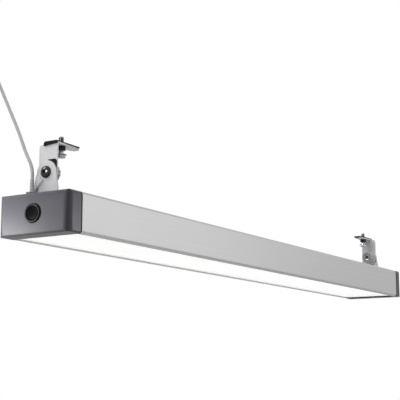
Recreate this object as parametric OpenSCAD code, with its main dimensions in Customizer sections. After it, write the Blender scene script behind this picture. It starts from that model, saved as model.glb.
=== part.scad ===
// Workbench light: a long aluminium box luminaire with an opal diffuser, hung under a
// rail by two tilting brackets, with a push button in its left end cap.
// X runs along the light, Y to the back, Z up. The origin lies on the rail face,
// midway between the two hanger studs.

/* [Housing] */
// Length of the extrusion between the end caps
housing_len = 1180; // [900:10:1500]
// Width of the extrusion
housing_w = 128; // [120:1:150]
// Height of the extrusion
housing_h = 60; // [57:1:80]
// Wall of the extrusion
housing_wall = 2.2; // [1.8:0.1:3]
// Radius of the two upper edges
top_r = 6; // [4:0.5:8]
// Radius of the two lower edges
bottom_r = 5; // [4:0.5:6]
// Width of each lower lip that the diffuser rests on
lip_w = 7; // [6:0.5:10]

/* [End caps] */
// Length of an end cap
cap_len = 29.2; // [27:0.2:40]
// Wall of an end cap
cap_wall = 3; // [2.4:0.1:3.6]
// Radius of the upright corners of an end cap
cap_corner_r = 11; // [7:1:14]
// Thickness of the gasket between cap and extrusion
gasket_t = 0.8; // [0.5:0.1:1.5]

/* [Push button] */
// Diameter of the bezel
bezel_d = 28.5; // [27:0.5:34]
// Height of the bezel above the end cap
bezel_h = 2; // [1.5:0.1:3]
// Diameter of the dished button
button_d = 20.8; // [18:0.2:21]
// Travel of the button
button_travel = 2.5; // [1:0.1:3]

/* [Light] */
// Thickness of the opal diffuser
diffuser_t = 2.5; // [2:0.1:4]
// Height of the gear tray above the bottom of the extrusion
tray_h = 28; // [24:0.5:30]
// Thickness of the gear tray
tray_t = 1.2; // [0.8:0.1:2]
// Number of circuit boards in each of the two rows
board_count = 4; // [2:1:6]
// Width of a circuit board
board_w = 20; // [14:1:24]
// Number of light emitting diodes on each board
led_count = 8; // [4:1:12]

/* [Driver] */
// Length of the driver case
driver_len = 240; // [160:5:300]
// Width of the driver case
driver_w = 34; // [30:1:44]
// Height of the driver case
driver_h = 21; // [18:0.5:22]

/* [Brackets] */
// Drop from the rail face to the tilt axis
hang_drop = 45.5; // [45:0.5:70]
// Rise from the top of the housing to the tilt axis
pivot_rise = 33; // [30:0.5:45]
// Thickness of the bracket sheet
sheet_t = 2.5; // [2:0.1:4]
// Width of a hanger
hanger_w = 33; // [30:1:36]
// Width of the hanger's tongue where it leaves the bend
tongue_w = 22; // [18:1:24]
// Width of the tongue at its tip
tip_w = 14; // [12:1:16]
// Length of the tongue from the hanger's outer face
tongue_len = 55; // [50:1:64]
// Width of the foot on the housing
foot_w = 43; // [40:1:50]
// Length of the foot's base along the housing
foot_len = 34; // [30:1:45]
// Thickness of the rubber pad on the tongue
pad_t = 1.5; // [1:0.1:2]

/* [Hardware] */
// Diameter of the pivot screws and clamp bolts
stud_d = 8; // [6:1:8]
// Height that a stud stands above the rail face
stud_reach = 10; // [6:0.5:16]
// Diameter of the flanged head of the pivot screw
pivot_head_d = 17.8; // [15:0.2:19]
// Diameter of the clamp knob
knob_d = 26; // [24:1:32]
// Height of the clamp knob
knob_h = 11; // [9:0.5:14]
// Thickness of the friction washer
friction_t = 1; // [0.8:0.1:2]

/* [Cord] */
// Diameter of the cord
cord_d = 5; // [4:0.1:6]
// Length of the strain relief above its gland
boot_len = 20; // [12:0.5:20]

/* [Hidden] */
$fn = 64;
// Clearances: seat between pieces at rest, fit of screws in holes, slip between turning faces
seat = 0.1;
fit = 0.06;
slip = 0.1;
// Levels of the housing
top_z = -hang_drop - pivot_rise;
bottom_z = top_z - housing_h;
mid_z = (top_z + bottom_z) / 2;
half_len = housing_len / 2;
half_w = housing_w / 2;
inner_w = half_w - housing_wall;
inner_bottom_r = 0.2;
// Inside the extrusion: groove of the diffuser, ribs of the tray
rib_t = 1.8;
groove_rib_d = 3;
tray_rib_d = 8;
diffuser_z = bottom_z + housing_wall + seat;
groove_top_z = diffuser_z + diffuser_t + seat;
tray_z = bottom_z + tray_h;
tray_top_z = tray_z + tray_t;
guide_y = 42;
guide_w = 1.6;
guide_d = 0.6;
// End caps run from cap_in to cap_out on each side
cap_in = half_len + gasket_t;
cap_out = cap_in + cap_len;
cap_bottom_r = 3.5;
cap_face_r = 7;
gasket_inset = 1;
tab_y = 35;
tab_w = 22;
tab_len = 12;
tab_t = 5;
cap_screw_x = half_len - tab_len / 2;
cap_screw_len = 12;
m4_r = 2;
m3_r = 1.5;
// Push button, measured outwards from the cap's face
bezel_wall = 0.5;
bezel_rim = 2.75;
barrel_r = bezel_d / 2 - bezel_rim;
barrel_len = 16;
bore_r = button_d / 2 + 0.3;
button_face = bezel_h - 0.6;
button_t = 4;
dish_depth = 1.6;
dish_r = button_d / 2 - 1.4;
dish_sphere_r = (dish_r * dish_r + dish_depth * dish_depth) / (2 * dish_depth);
stem_r = 3;
stem_gap = 0.3;
floor_z = -9;
floor_t = 2;
clip_r = 4.2;
clip_t = 2;
stem_end = floor_z - floor_t - 6;
ring_nut_t = 4;
switch_w = 24;
switch_t = 10;
spring_wire = 0.8;
spring_turns = 4;
spring_r = 5;
// Lighting
board_t = 1.6;
board_y = 20;
board_gap = 4;
board_margin = 18;
row_len = housing_len - 2 * board_margin;
board_len = (row_len - (board_count - 1) * board_gap) / board_count;
led_w = 3;
led_t = 0.7;
board_screw_r = 2.8;
board_screw_h = 1.6;
reflector_t = 0.8;
tray_w = 2 * inner_w - 1;
tray_lip = 8;
tray_screw_inset = 40;
tray_gap = 2;
// Driver and mains terminal, on the tray
driver_x = 100 - half_len + driver_len / 2;
driver_y = -28;
driver_t = 1;
coil_size = [22, 18, 12];
coil_x = -19;
fuse_size = [20, 14, 9];
fuse_x = -65;
socket_size = [12, 20, 8];
capacitor_r = 6;
capacitor_h = 12;
capacitor_x = [10, 26, 42];
terminal_x = 38 - half_len;
terminal_y = 22;
terminal_size = [22, 30, 15];
pole_pitch = 8.5;
earth_x = 90 - half_len;
earth_y = 30;
lead_d = 2;
// Brackets: places across the joint, measured along X from the centre
ear_overhang = 3.2;
ear_out = half_len + ear_overhang;
ear_in = ear_out - sheet_t;
washer_out = ear_in - slip;
plate_out = washer_out - friction_t;
plate_in = plate_out - sheet_t;
knob_washer_t = 1.6;
knob_out = plate_in - knob_washer_t - slip;
knob_in = knob_out - knob_h;
head_seat = ear_out + slip;
pivot_z = -hang_drop;
ear_r = foot_w / 2 - 4.5;
stud_r = stud_d / 2;
stud_x = plate_out - 21.6;
stud_y = hanger_w / 2 - tongue_w / 2;
flange_t = 1.2;
head_h = 5.6;
head_sphere_r = 14;
socket_af = 5;
across_corners = 2 / sqrt(3);
nut_af = stud_d * 1.625;
nut_h = stud_d * 0.8;
bend_in_r = 1.5;
bend_out_r = bend_in_r + sheet_t;
shoulder_drop = sheet_t;
shoulder_r = 5;
tongue_z = -pad_t;
bolt_gap = 5.5;
bolt_head_h = 5.3;
bolt_flange_r = 8.9;
shank_ease = 0.03;
lug_h = 18.7;
lug_r = 5;
grip_count = 12;
grip_r = 2.2;
insert_h = 6.8;
foot_screw_x = ear_out - 22;
foot_screw_y = 13;
m5_r = 2.5;
foot_head_r = 4.75;
foot_head_h = 2.75;
nut_plate_t = 3;
nut_plate_len = 20;
nut_plate_w = 40;
// Cord: its route lies in one upright plane, as [y, z] points from the top of the strain
// relief up to the ceiling rose
cord_x = 17 - cap_out;
gland_y = 17;
gland_flange_h = 3.5;
gland_r = 6;
gland_af = 15;
route = [[0, 0], [0, 5], [0.6, 11], [2, 17], [4.6, 23.5], [8, 30], [11.6, 36.5], [15, 43],
    [18.2, 50], [21.5, 57.5], [27, 69.5], [33, 81.5], [39, 93], [45, 104.5], [51, 116],
    [57, 127.5], [63, 139], [69, 150.5], [75, 162], [81, 173.5], [86.5, 184.5],
    [90.5, 193], [92.5, 198.5], [93, 202], [93, 205]];
sleeve_top_z = top_z + gland_flange_h + boot_len;
rose_d = 30;
rose_wall = 1.6;
rose_h = 12;
rose_base_h = 3;
rose_pad_t = 1;
grip_len = 8;
route_end = route[len(route) - 1];
rose_y = gland_y + route_end[0];
cord_top_z = sleeve_top_z + route_end[1];
rose_z = cord_top_z + grip_len / 2;

// Shapes shared by several pieces

// Rectangle from corner to corner in a 2D plane
module plate2(a, b) {
    translate(a) square(b - a);
}

// Rectangle with upper radius rt and lower radius rb
module rounded2(a, b, rt, rb) {
    plate2([a[0] + rt, a[1] + rb], [b[0] - rt, b[1]]);
    plate2([a[0], a[1] + rb], [b[0], b[1] - rt]);
    plate2([a[0] + rb, a[1]], [b[0] - rb, b[1] - rt]);
    for (y = [a[0] + rt, b[0] - rt]) translate([y, b[1] - rt]) circle(rt);
    for (y = [a[0] + rb, b[0] - rb]) translate([y, a[1] + rb]) circle(rb);
}

// A section drawn in Y and Z, drawn out along X from x0 to x1
module along_x(x0, x1) {
    translate([x0, 0, 0]) rotate([90, 0, 90]) linear_extrude(x1 - x0) children();
}

// A section drawn in X and Z, drawn out along Y from y0 to y1
module along_y(y0, y1) {
    translate([0, y1, 0]) rotate([90, 0, 0]) linear_extrude(y1 - y0) children();
}

// A plan drawn in X and Y, drawn up from z0 to z1
module along_z(z0, z1) {
    translate([0, 0, z0]) linear_extrude(z1 - z0) children();
}

module block(a, b) {
    translate(a) cube(b - a);
}

// Block that stands on a point
module centred_block(p, size) {
    translate(p - [size[0] / 2, size[1] / 2, 0]) cube(size);
}

// Upright round bar from z0 to z1
module bar(x, y, z0, z1, r) {
    translate([x, y, z0]) cylinder(r = r, h = z1 - z0);
}

// Round bar along X through the tilt axis
module pivot_bar(x0, x1, r) {
    translate([x0, 0, pivot_z]) rotate([0, 90, 0]) cylinder(r = r, h = x1 - x0);
}

module hex_prism(af, h) {
    cylinder(d = af * across_corners, h = h, $fn = 6);
}

// The right end is the left end turned half round, for the brackets
module right_end() {
    rotate([0, 0, 180]) children();
}

module both_ends() {
    children();
    right_end() children();
}

// The caps are mirror images
module both_caps() {
    children();
    mirror([1, 0, 0]) children();
}

// A round tube swept along 3D points with n sides; ref is never along the route
function unit(v) = v / norm(v);
function tangent(p, i) = unit(p[min(i + 1, len(p) - 1)] - p[max(i - 1, 0)]);
function ring(p, i, r, n, ref) =
    let (a = unit(cross(tangent(p, i), ref)), b = cross(tangent(p, i), a))
    [for (k = [0:n - 1]) p[i] + r * (a * cos(360 * k / n) + b * sin(360 * k / n))];
module tube(p, d, n, ref) {
    last = (len(p) - 1) * n;
    polyhedron(
        points = [for (i = [0:len(p) - 1]) each ring(p, i, d / 2, n, ref)],
        faces = concat(
            [[for (k = [0:n - 1]) k]],
            [[for (k = [n - 1:-1:0]) last + k]],
            [for (i = [0:len(p) - 2], k = [0:n - 1])
                [i * n + k, (i + 1) * n + k, (i + 1) * n + (k + 1) % n]],
            [for (i = [0:len(p) - 2], k = [0:n - 1])
                [i * n + k, (i + 1) * n + (k + 1) % n, i * n + (k + 1) % n]]));
}

// Housing

module housing_section() {
    difference() {
        rounded2([-half_w, bottom_z], [half_w, top_z], top_r, bottom_r);
        rounded2([-inner_w, bottom_z + housing_wall], [inner_w, top_z - housing_wall],
            top_r - housing_wall, inner_bottom_r);
        plate2([lip_w - half_w, bottom_z - 1], [half_w - lip_w, bottom_z + housing_wall + 1]);
        for (y = [-guide_y, guide_y])
            plate2([y - guide_w / 2, top_z - guide_d], [y + guide_w / 2, top_z + 1]);
    }
    for (side = [0, 1]) mirror([side, 0]) {
        plate2([inner_w - groove_rib_d, groove_top_z], [inner_w + 0.5, groove_top_z + rib_t]);
        plate2([inner_w - tray_rib_d, tray_z - rib_t], [inner_w + 0.5, tray_z]);
    }
}

module at_tray_screws() {
    for (x = [tray_screw_inset - half_len, 0, half_len - tray_screw_inset], y = [-1, 1])
        translate([x, y * (inner_w - tray_rib_d + 2.8), tray_z]) children();
}

module at_cap_screws() {
    for (x = [-cap_screw_x, cap_screw_x], y = [-tab_y, tab_y])
        translate([x, y, top_z]) children();
}

module at_foot_screws() {
    for (y = [-foot_screw_y, foot_screw_y]) translate([-foot_screw_x, y, top_z]) children();
}

module screw_hole(r, depth) {
    translate([0, 0, -depth]) cylinder(r = r + fit, h = 2 * depth);
}

module housing() {
    color("silver") difference() {
        along_x(-half_len, half_len) housing_section();
        at_cap_screws() screw_hole(m4_r, 4);
        both_ends() at_foot_screws() screw_hole(m5_r, 4);
        at_tray_screws() screw_hole(m3_r, 3);
    }
}

// End caps: the extrusion's section with round upright corners, and all edges of the end face rounded
module cap_form(x1, inset, corner, rt, rf, rb) {
    side = half_w - inset;
    low = bottom_z + inset;
    high = top_z - inset;
    intersection() {
        along_x(cap_in - 1, x1) rounded2([-side, low], [side, high], rt, rb);
        along_y(-housing_w, housing_w) rounded2([cap_in - cap_len, low], [x1, high], rf, rb);
        along_z(bottom_z - 1, top_z + 1) {
            plate2([cap_in - 1, -side], [x1 - corner, side]);
            plate2([cap_in - 1, corner - side], [x1, side - corner]);
            for (y = [-1, 1]) translate([x1 - corner, y * (side - corner)]) circle(corner);
        }
    }
}

module end_cap_shell() {
    difference() {
        union() {
            difference() {
                cap_form(cap_out, 0, cap_corner_r, top_r, cap_face_r, cap_bottom_r);
                cap_form(cap_out - cap_wall, cap_wall, cap_corner_r - cap_wall,
                    top_r - cap_wall, cap_face_r - cap_wall, 0.5);
                block([cap_in - 2, -housing_w, bottom_z - 1], [cap_in, housing_w, top_z + 1]);
            }
            for (y = [-tab_y, tab_y])
                block([half_len - tab_len, y - tab_w / 2, top_z - housing_wall - seat - tab_t],
                    [cap_in + 6, y + tab_w / 2, top_z - housing_wall - seat]);
        }
        for (y = [-tab_y, tab_y]) translate([cap_screw_x, y, top_z]) screw_hole(m4_r, 20);
    }
}

module end_cap_right() {
    color("dimgray") end_cap_shell();
}

module end_cap_left() {
    color("dimgray") difference() {
        mirror([1, 0, 0]) end_cap_shell();
        at_button() translate([0, 0, -cap_wall - 1]) cylinder(r = barrel_r + fit, h = cap_wall + 2);
        bar(cord_x, gland_y, top_z - cap_wall - 1, top_z + 1, gland_r + fit);
    }
}

module cap_gaskets() {
    color("black") both_caps() along_x(half_len, cap_in) difference() {
        rounded2([gasket_inset - half_w, bottom_z + gasket_inset],
            [half_w - gasket_inset, top_z - gasket_inset],
            top_r - gasket_inset, bottom_r - gasket_inset);
        plate2([cap_wall - half_w, bottom_z + housing_wall], [half_w - cap_wall,
            top_z - housing_wall - seat - tab_t - 1]);
        for (y = [-tab_y, tab_y])
            plate2([y - tab_w / 2 - seat, top_z - housing_wall - tab_t - 2],
                [y + tab_w / 2 + seat, top_z - housing_wall]);
    }
}

module cap_screws() {
    color("gainsboro") at_cap_screws() {
        translate([0, 0, -cap_screw_len]) cylinder(r = m4_r, h = cap_screw_len);
        cylinder(r1 = 3.8, r2 = 2.8, h = 2.2);
    }
}

// Diffuser, gear tray, boards and diodes

module diffuser() {
    color("white") block([-half_len, 0.4 - inner_w, diffuser_z],
        [half_len, inner_w - 0.4, diffuser_z + diffuser_t]);
}

module gear_tray() {
    color("white") difference() {
        along_x(tray_gap - half_len, half_len - tray_gap) difference() {
            plate2([-tray_w / 2, tray_z], [tray_w / 2, tray_z + tray_lip]);
            plate2([tray_t - tray_w / 2, tray_top_z], [tray_w / 2 - tray_t, tray_z + tray_lip + 1]);
        }
        at_tray_screws() screw_hole(m3_r, 3);
        translate([earth_x, earth_y, tray_z]) screw_hole(m4_r, 3);
        for (x = [-1, 1]) bar(driver_x + x * (driver_len / 2 + 6), driver_y, tray_z - 1,
            tray_top_z + 1, m3_r + fit);
        bar(wire_hole_x, wire_hole_y, tray_z - 1, tray_top_z + 1, 5);
    }
}

module tray_screws() {
    color("gainsboro") at_tray_screws() {
        translate([0, 0, -rib_t - 2]) cylinder(r = m3_r, h = rib_t + 2 + tray_t);
        translate([0, 0, tray_t]) cylinder(r1 = 2.5, r2 = 2, h = 1.8);
    }
}

module reflectors() {
    wing_y = board_y + board_w / 2 + 2;
    edge_y = inner_w - groove_rib_d - 1;
    edge_z = groove_top_z + rib_t + 1;
    color("white") difference() {
        along_x(tray_gap - half_len, half_len - tray_gap) {
            for (side = [0, 1]) mirror([side, 0])
                polygon([[wing_y, tray_z], [wing_y + 4, tray_z], [edge_y, edge_z + reflector_t],
                    [edge_y, edge_z], [wing_y + 4, tray_z - reflector_t],
                    [wing_y, tray_z - reflector_t]]);
            plate2([board_w / 2 + 2 - board_y, tray_z - reflector_t],
                [board_y - board_w / 2 - 2, tray_z]);
        }
        bar(wire_hole_x, wire_hole_y, tray_z - 2, tray_z + 1, 5);
    }
}

module at_boards() {
    for (i = [0:board_count - 1], y = [-board_y, board_y])
        translate([(board_len + board_gap) * (i - (board_count - 1) / 2), y, tray_z - board_t])
            children();
}

module at_board_screws() {
    for (x = [-1, 1]) translate([x * (board_len / 2 - 6), 0, 0]) children();
}

module led_boards() {
    color("ivory") at_boards() difference() {
        translate([-board_len / 2, -board_w / 2, 0]) cube([board_len, board_w, board_t]);
        at_board_screws() screw_hole(m3_r, 3);
    }
}

module led_chips() {
    pitch = board_len / led_count;
    color("khaki") at_boards() for (i = [0:led_count - 1])
        translate([pitch * (i - (led_count - 1) / 2) - led_w / 2, -led_w / 2, -led_t])
            cube([led_w, led_w, led_t]);
}

module board_screws() {
    color("gainsboro") at_boards() at_board_screws() {
        translate([0, 0, -board_screw_h]) cylinder(r = board_screw_r, h = board_screw_h);
        cylinder(r = m3_r, h = board_t);
    }
}

// Driver: an open case with a lid over a board with its parts

module driver_case() {
    a = [driver_x - driver_len / 2, driver_y - driver_w / 2, tray_top_z];
    b = [driver_x + driver_len / 2, driver_y + driver_w / 2, tray_top_z + driver_h - driver_t];
    color("lightgray") difference() {
        union() {
            block(a, b);
            for (x = [a[0] - 11, b[0] - 1])
                block([x, driver_y - 9, tray_top_z], [x + 12, driver_y + 9, tray_top_z + 1.5]);
        }
        block(a + [driver_t, driver_t, driver_t], b + [-driver_t, -driver_t, 1]);
        for (x = [-1, 1]) bar(driver_x + x * (driver_len / 2 + 6), driver_y, tray_z,
            tray_top_z + 3, m3_r + fit);
        for (y = [-5, 0, 5]) along_x_bar(a[0] - 1, a[0] + 2, driver_y + y, driver_wire_z, 1.5);
        for (y = [-4, 4]) along_x_bar(b[0] - 2, b[0] + 1, driver_y + y, driver_wire_z, 1.5);
    }
}

module along_x_bar(x0, x1, y, z, r) {
    translate([x0, y, z]) rotate([0, 90, 0]) cylinder(r = r, h = x1 - x0);
}

module driver_lid() {
    z = tray_top_z + driver_h - driver_t;
    color("lightgray")
        block([driver_x - driver_len / 2, driver_y - driver_w / 2, z],
            [driver_x + driver_len / 2, driver_y + driver_w / 2, z + driver_t]);
}

driver_board_z = tray_top_z + driver_t + 2;
module driver_board() {
    color("seagreen") {
        block([driver_x - driver_len / 2 + 4, driver_y - driver_w / 2 + 2, driver_board_z],
            [driver_x + driver_len / 2 - 4, driver_y + driver_w / 2 - 2, driver_board_z + board_t]);
        for (x = [-1, 1], y = [-1, 1])
            bar(driver_x + x * (driver_len / 2 - 9), driver_y + y * (driver_w / 2 - 6),
                tray_top_z + driver_t, driver_board_z, 2);
    }
}

module driver_parts() {
    z = driver_board_z + board_t;
    color("goldenrod") {
        centred_block([driver_x + coil_x, driver_y, z], coil_size);
        centred_block([driver_x + fuse_x, driver_y, z], fuse_size);
        for (x = [-1, 1])
            centred_block([driver_x + x * (driver_len / 2 - socket_size[0] - 4), driver_y, z],
                socket_size);
        for (x = capacitor_x) bar(driver_x + x, driver_y, z, z + capacitor_h, capacitor_r);
    }
}

module driver_screws() {
    color("gainsboro") for (x = [-1, 1]) {
        bar(driver_x + x * (driver_len / 2 + 6), driver_y, tray_z, tray_top_z + 1.5, m3_r);
        bar(driver_x + x * (driver_len / 2 + 6), driver_y, tray_top_z + 1.5,
            tray_top_z + 3.3, 2.8);
    }
}

// Mains terminal block with three poles, and the earth screw

module terminal_block() {
    low = [terminal_x, terminal_y - terminal_size[1] / 2, tray_top_z];
    color("whitesmoke") difference() {
        block(low, low + terminal_size);
        for (pole = [-1, 0, 1]) {
            y = terminal_y + pole * pole_pitch;
            bar(terminal_x + 6, y, tray_top_z + 8, tray_top_z + 20, 2.4);
            along_x_bar(terminal_x - 1, terminal_x + 4, y, lead_z, lead_d / 2 + 0.2);
            along_x_bar(terminal_x + terminal_size[0] - 4, terminal_x + terminal_size[0] + 1,
                y, lead_z, lead_d / 2 + 0.2);
        }
    }
}

module terminal_screws() {
    color("gold") for (pole = [-1, 0, 1])
        bar(terminal_x + 6, terminal_y + pole * pole_pitch, tray_top_z + 8,
            tray_top_z + 13, 2.3);
}

module earth_screw() {
    color("gold") {
        bar(earth_x, earth_y, tray_z, tray_top_z, m4_r);
        bar(earth_x, earth_y, tray_top_z, tray_top_z + 1, 4.5);
        bar(earth_x, earth_y, tray_top_z + 1, tray_top_z + 3.4, 3.6);
    }
}

// Leads, each bent by hand between its two ends

lead_z = tray_top_z + 4.5;
driver_wire_z = tray_top_z + 8;
wire_hole_x = driver_x + driver_len / 2 + 40;
wire_hole_y = 0;
module lead(p) {
    tube(p, lead_d, 6, [0.1, 0.2, 1]);
}

// From the cord's end to the terminal, then on to the driver; the earth lead ends at its screw
lead_starts = [[0.7, -1.2], [-1.4, 0], [0.7, 1.2]];
lead_turns = [[5, -2, -8.5], [3, 1, -11.5], [6, 4, -8.5]];
driver_turns = [[[-25, 32], [-18, 12]], [[-19, 36], [-13, 16]]];
lead_colours = ["saddlebrown", "steelblue", "yellowgreen"];
module mains_wires() {
    out_x = terminal_x + terminal_size[0] - 3.5;
    start = driver_x - driver_len / 2;
    for (i = [0:2]) color(lead_colours[i]) {
        y = terminal_y + (i - 1) * pole_pitch;
        from = [cord_x + lead_starts[i][0], gland_y + lead_starts[i][1]];
        lead([[from[0], from[1], gland_end_z], [from[0], from[1], gland_end_z - 4],
            [cord_x, gland_y, gland_end_z] + lead_turns[i], [terminal_x - 18, y, lead_z + 1.5],
            [terminal_x - 8, y, lead_z], [terminal_x + 3.5, y, lead_z]]);
    }
    for (i = [0, 1]) color(lead_colours[i]) {
        y = terminal_y + (i - 1) * pole_pitch;
        end_y = driver_y + 5 * i;
        lead([[out_x, y, lead_z], [out_x + 10 + 2 * i, y, lead_z],
            [start + driver_turns[i][0][0], driver_y + driver_turns[i][0][1], lead_z],
            [start + driver_turns[i][1][0], driver_y + driver_turns[i][1][1], lead_z + 1],
            [start - 9 + 2 * i, end_y, driver_wire_z], [start + 4, end_y, driver_wire_z]]);
    }
    color(lead_colours[2]) lead([[out_x, terminal_y + pole_pitch, lead_z],
        [out_x + 10, terminal_y + pole_pitch, lead_z],
        [earth_x - 10, earth_y, tray_top_z + 2.2],
        [earth_x - 3.6, earth_y, tray_top_z + 2.2]]);
}

// From the driver down through the tray to the first two boards
module led_wires() {
    end = driver_x + driver_len / 2;
    color("crimson") for (side = [-1, 1])
        lead([[end - 4, driver_y + side * 4, driver_wire_z],
            [end + 8, driver_y + side * 4, driver_wire_z],
            [wire_hole_x - 14, side * 3 - 5, tray_top_z + 5],
            [wire_hole_x - 5, side * 2, tray_top_z + 3],
            [wire_hole_x, side * 2, tray_z - 1],
            [wire_hole_x + 4, side * 7, tray_z - board_t - lead_d / 2 - 1],
            [wire_hole_x + 8, side * 15, tray_z - board_t - lead_d / 2]]);
}

// From the push button's switch to the driver
module switch_wires() {
    start = driver_x - driver_len / 2;
    back = cap_out - barrel_len - switch_t;
    color("darkorange") for (side = [-1, 1])
        lead([[-back, side * 4 - 4, mid_z + 6],
            [8 - back, side * 4 - 4, mid_z + 6],
            [24 - back, side * 4 - 8, tray_top_z + 6],
            [start - 30, driver_y - 10 + side * 2, tray_top_z + 4],
            [start - 12, driver_y - 13 + side * 2, tray_top_z + 4],
            [start, driver_y - 13 + side * 2, tray_top_z + 4]]);
}

// Push button in the left end cap: local Z points outwards along -X

module at_button() {
    translate([-cap_out, 0, mid_z]) rotate([0, -90, 0]) children();
}

module button_bezel() {
    color("black") at_button() rotate_extrude() polygon([
        [stem_r + stem_gap, floor_z], [bore_r, floor_z], [bore_r, bezel_h - 0.6],
        [bore_r + bezel_wall, bezel_h], [bezel_d / 2 - 1, bezel_h],
        [bezel_d / 2, bezel_h - 1], [bezel_d / 2, 0], [barrel_r, 0],
        [barrel_r, -barrel_len], [barrel_r - 2, -barrel_len],
        [barrel_r - 2, floor_z - floor_t], [stem_r + stem_gap, floor_z - floor_t]]);
}

module button_nut() {
    color("darkslategray") at_button() translate([0, 0, -cap_wall - ring_nut_t]) difference() {
        hex_prism(bezel_d - 1.5, ring_nut_t);
        translate([0, 0, -1]) cylinder(r = barrel_r + fit, h = ring_nut_t + 2);
    }
}

module button_cap() {
    color("black") at_button() {
        difference() {
            translate([0, 0, button_face - button_t]) cylinder(d = button_d, h = button_t);
            translate([0, 0, button_face - dish_depth + dish_sphere_r]) sphere(dish_sphere_r);
        }
        translate([0, 0, stem_end]) cylinder(r = stem_r, h = button_face - button_t - stem_end);
        translate([0, 0, floor_z - floor_t - seat - clip_t]) cylinder(r = clip_r, h = clip_t);
    }
}

module switch_block() {
    color("darkred") at_button() difference() {
        translate([-switch_w / 2, -switch_w / 2, -barrel_len - switch_t])
            cube([switch_w, switch_w, switch_t]);
        translate([0, 0, stem_end - button_travel - 0.5])
            cylinder(r = stem_r + stem_gap, h = 20);
    }
}

// Return spring between the bezel's floor and the back of the button
module button_spring() {
    rise = button_face - button_t - floor_z - 2 * seat - spring_wire;
    steps = 10 * spring_turns;
    color("silver") at_button() tube([for (i = [0:steps])
        [spring_r * cos(36 * i), spring_r * sin(36 * i),
            floor_z + seat + spring_wire / 2 + rise * i / steps]], spring_wire, 6, [0, 0, 1]);
}

// Cord entry in the left cap, the cord, and the ceiling rose at its far end

gland_nut_t = 4;
gland_end_z = top_z - cap_wall - gland_nut_t - 2;
boot_z = top_z + gland_flange_h;

module cable_gland() {
    color("black") difference() {
        union() {
            translate([cord_x, gland_y, top_z]) hex_prism(gland_af, gland_flange_h);
            bar(cord_x, gland_y, gland_end_z, top_z, gland_r);
        }
        bar(cord_x, gland_y, gland_end_z - 1, boot_z + 1, cord_d / 2 + fit);
    }
}

module gland_nut() {
    color("black") difference() {
        translate([cord_x, gland_y, top_z - cap_wall - gland_nut_t])
            hex_prism(gland_af, gland_nut_t);
        bar(cord_x, gland_y, gland_end_z - 1, top_z, gland_r + fit);
    }
}

// Sleeve moulded on the cord, with the cord's own end inside the gland
module strain_relief() {
    color("whitesmoke") {
        bar(cord_x, gland_y, gland_end_z, boot_z, cord_d / 2);
        translate([cord_x, gland_y, boot_z])
            cylinder(r1 = cord_d / 2 + 1, r2 = cord_d / 2 + 0.3, h = boot_len);
    }
}

module cord() {
    color("whitesmoke") tube([for (q = route)
        [cord_x, gland_y + q[0], sleeve_top_z + q[1]]], cord_d, 8, [1, 0, 0]);
}

module cord_grip() {
    color("whitesmoke") bar(cord_x, rose_y, cord_top_z, rose_z + rose_wall + 3, 4);
}

module rose_cover() {
    top = rose_z + rose_h - rose_base_h;
    color("white") difference() {
        translate([cord_x, rose_y, rose_z]) rotate_extrude() polygon([
            [0, 0], [rose_d / 2 - 2, 0], [rose_d / 2, 2], [rose_d / 2, rose_h],
            [rose_d / 2 - rose_wall, rose_h], [rose_d / 2 - rose_wall, 2 + rose_wall],
            [rose_d / 2 - 2 - rose_wall, rose_wall], [0, rose_wall]]);
        bar(cord_x, rose_y, rose_z - 1, top, 4 + fit);
    }
}

module rose_base() {
    color("lightgray") bar(cord_x, rose_y, rose_z + rose_h - rose_base_h, rose_z + rose_h,
        rose_d / 2 - rose_wall - fit);
}

module rose_pad() {
    color("gray") bar(cord_x, rose_y, rose_z + rose_h, rose_z + rose_h + rose_pad_t,
        rose_d / 2 - rose_wall);
}

// Feet: an upright ear with a round head over a base on the housing, drawn at the left end

module ear_outline() {
    translate([0, pivot_z]) circle(ear_r);
    polygon([[-ear_r, pivot_z], [-foot_w / 2, top_z + 8], [-foot_w / 2, top_z],
        [foot_w / 2, top_z], [foot_w / 2, top_z + 8], [ear_r, pivot_z]]);
}

// Raised facet that stiffens the ear, with a slanting edge, just above the cord's gland
facet_z = top_z + gland_flange_h + 0.7;
facet_t = 2.6;
module ear_facet() {
    polygon([[3, pivot_z - 12], [foot_w / 2 - 2.5, facet_z], [foot_w / 2 - 0.8, facet_z],
        [foot_w / 2 - 0.8, top_z + 8], [ear_r - 0.8, pivot_z - 3], [11, pivot_z - 5],
        [8, pivot_z - 9.5]]);
}

module foot() {
    color("lightgray") difference() {
        union() {
            along_x(-ear_out, -ear_in) ear_outline();
            along_x(-ear_out - facet_t, -ear_out) ear_facet();
            block([-ear_out, -foot_w / 2, top_z], [foot_len - ear_out, foot_w / 2, top_z + sheet_t]);
        }
        pivot_bar(-ear_out - facet_t - 1, -ear_in + 1, stud_r + fit);
        at_foot_screws() screw_hole(m5_r, 6);
    }
}

module foot_left() {
    foot();
}

module foot_right() {
    right_end() foot();
}

module foot_screws() {
    color("gainsboro") both_ends() at_foot_screws() {
        translate([0, 0, -housing_wall - nut_plate_t - 2])
            cylinder(r = m5_r, h = housing_wall + nut_plate_t + 2 + sheet_t);
        difference() {
            translate([0, 0, sheet_t]) cylinder(r1 = foot_head_r, r2 = 3.2, h = foot_head_h);
            translate([0, 0, sheet_t + 1.2]) hex_prism(3, 3);
        }
    }
}

module nut_plates() {
    color("gainsboro") both_ends() difference() {
        centred_block([-foot_screw_x, 0, top_z - housing_wall - nut_plate_t],
            [nut_plate_len, nut_plate_w, nut_plate_t]);
        at_foot_screws() screw_hole(m5_r, 12);
    }
}

// Hangers: a round-ended plate with a tongue bent inwards under the rail

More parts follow.
